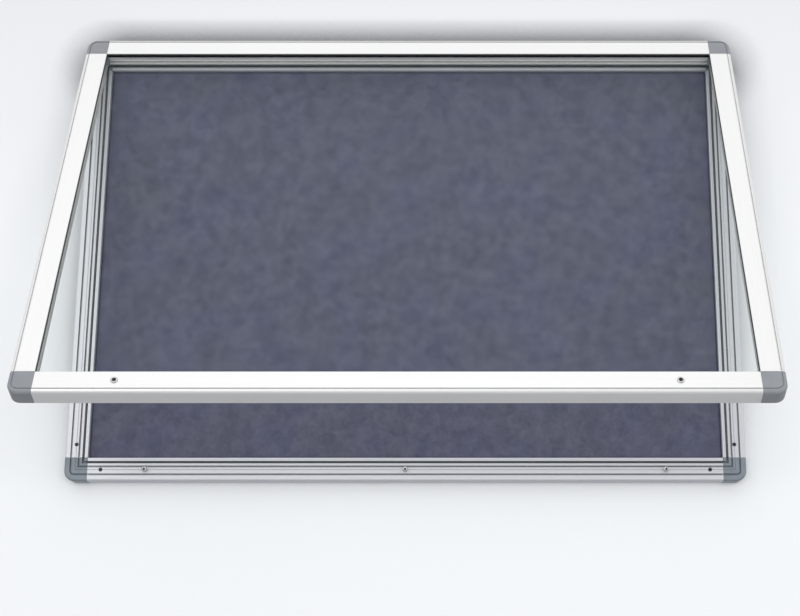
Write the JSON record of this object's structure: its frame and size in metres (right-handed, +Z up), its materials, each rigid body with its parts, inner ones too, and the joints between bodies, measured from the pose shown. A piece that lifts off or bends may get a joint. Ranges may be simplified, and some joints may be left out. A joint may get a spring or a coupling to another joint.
{
  "type": "lockable notice board",
  "caption": "Wall-mounted aluminium notice board with a felt pin board behind a glazed door that is hinged along its top edge and locked at its bottom edge.",
  "frame": {"origin": "centre of the back panel's rear face, in the plane that lies on the wall", "axes": "+X along the board to the viewer's right, +Y into the wall, +Z up; the board faces -Y"},
  "size_m": [0.97, 0.3211, 0.6663],
  "materials": {
    "case_aluminium": "satin anodised",
    "door_aluminium": "fine satin anodised, pale",
    "door_corner_plastic": "moulded, fine grain",
    "case_corner_plastic": "moulded, slightly glossy",
    "seal_rubber": "matt black",
    "gasket_rubber": "matt black",
    "felt": "needled felt, blue grey",
    "fibre_board": "soft fibre board",
    "galvanised_steel": "galvanised sheet",
    "glass": "clear toughened",
    "bright_steel": "nickel plated",
    "dark_steel": "dark zinc plated"
  },
  "bodies": {
    "case": {"case_rail_bottom": "case_aluminium", "case_rail_right": "case_aluminium", "case_rail_top": "case_aluminium", "case_rail_left": "case_aluminium", "case_corner_bottom_left": "case_corner_plastic", "case_corner_bottom_right": "case_corner_plastic", "case_corner_top_right": "case_corner_plastic", "case_corner_top_left": "case_corner_plastic", "case_seal_bottom": "seal_rubber", "case_seal_right": "seal_rubber", "case_seal_top": "seal_rubber", "case_seal_left": "seal_rubber", "corner_screw_bottom_start": "dark_steel", "corner_screw_bottom_end": "dark_steel", "corner_screw_right_start": "dark_steel", "corner_screw_right_end": "dark_steel", "corner_screw_top_start": "dark_steel", "corner_screw_top_end": "dark_steel", "corner_screw_left_start": "dark_steel", "corner_screw_left_end": "dark_steel", "keeper_stud_left": "bright_steel", "middle_stud": "bright_steel", "keeper_stud_right": "bright_steel", "back_panel": "galvanised_steel", "pin_board": "fibre_board", "felt_facing": "felt"},
    "door": {"door_rail_bottom": "door_aluminium", "door_rail_right": "door_aluminium", "door_rail_top": "door_aluminium", "door_rail_left": "door_aluminium", "door_corner_bottom_left": "door_corner_plastic", "door_corner_bottom_right": "door_corner_plastic", "door_corner_top_right": "door_corner_plastic", "door_corner_top_left": "door_corner_plastic", "front_gasket_bottom": "gasket_rubber", "front_gasket_right": "gasket_rubber", "front_gasket_top": "gasket_rubber", "front_gasket_left": "gasket_rubber", "rear_gasket_bottom": "gasket_rubber", "rear_gasket_right": "gasket_rubber", "rear_gasket_top": "gasket_rubber", "rear_gasket_left": "gasket_rubber", "glass_pane": "glass", "lock_barrel_left": "bright_steel", "lock_nut_left": "bright_steel", "lock_barrel_right": "bright_steel", "lock_nut_right": "bright_steel"},
    "lock_left": {"lock_plug_left": "dark_steel", "lock_cam_left": "bright_steel", "cam_screw_left": "bright_steel"},
    "lock_right": {"lock_plug_right": "dark_steel", "lock_cam_right": "bright_steel", "cam_screw_right": "bright_steel"}
  },
  "joints": [
    {"name": "door_hinge", "type": "hinge", "parent": "case", "child": "door", "pos_m": [0, -0.0297, 0.3254], "axis": [-1, 0, 0], "range_deg": [-24.8, 60.2]},
    {"name": "lock_left_turn", "type": "hinge", "parent": "door", "child": "lock_left", "pos_m": [-0.35201, -0.29367, -0.25423], "axis": [0, 0.9078, -0.4195], "range_deg": [0, 90]},
    {"name": "lock_right_turn", "type": "hinge", "parent": "door", "child": "lock_right", "pos_m": [0.35201, -0.29367, -0.25423], "axis": [0, -0.9078, 0.4195], "range_deg": [0, 90]}
  ]
}
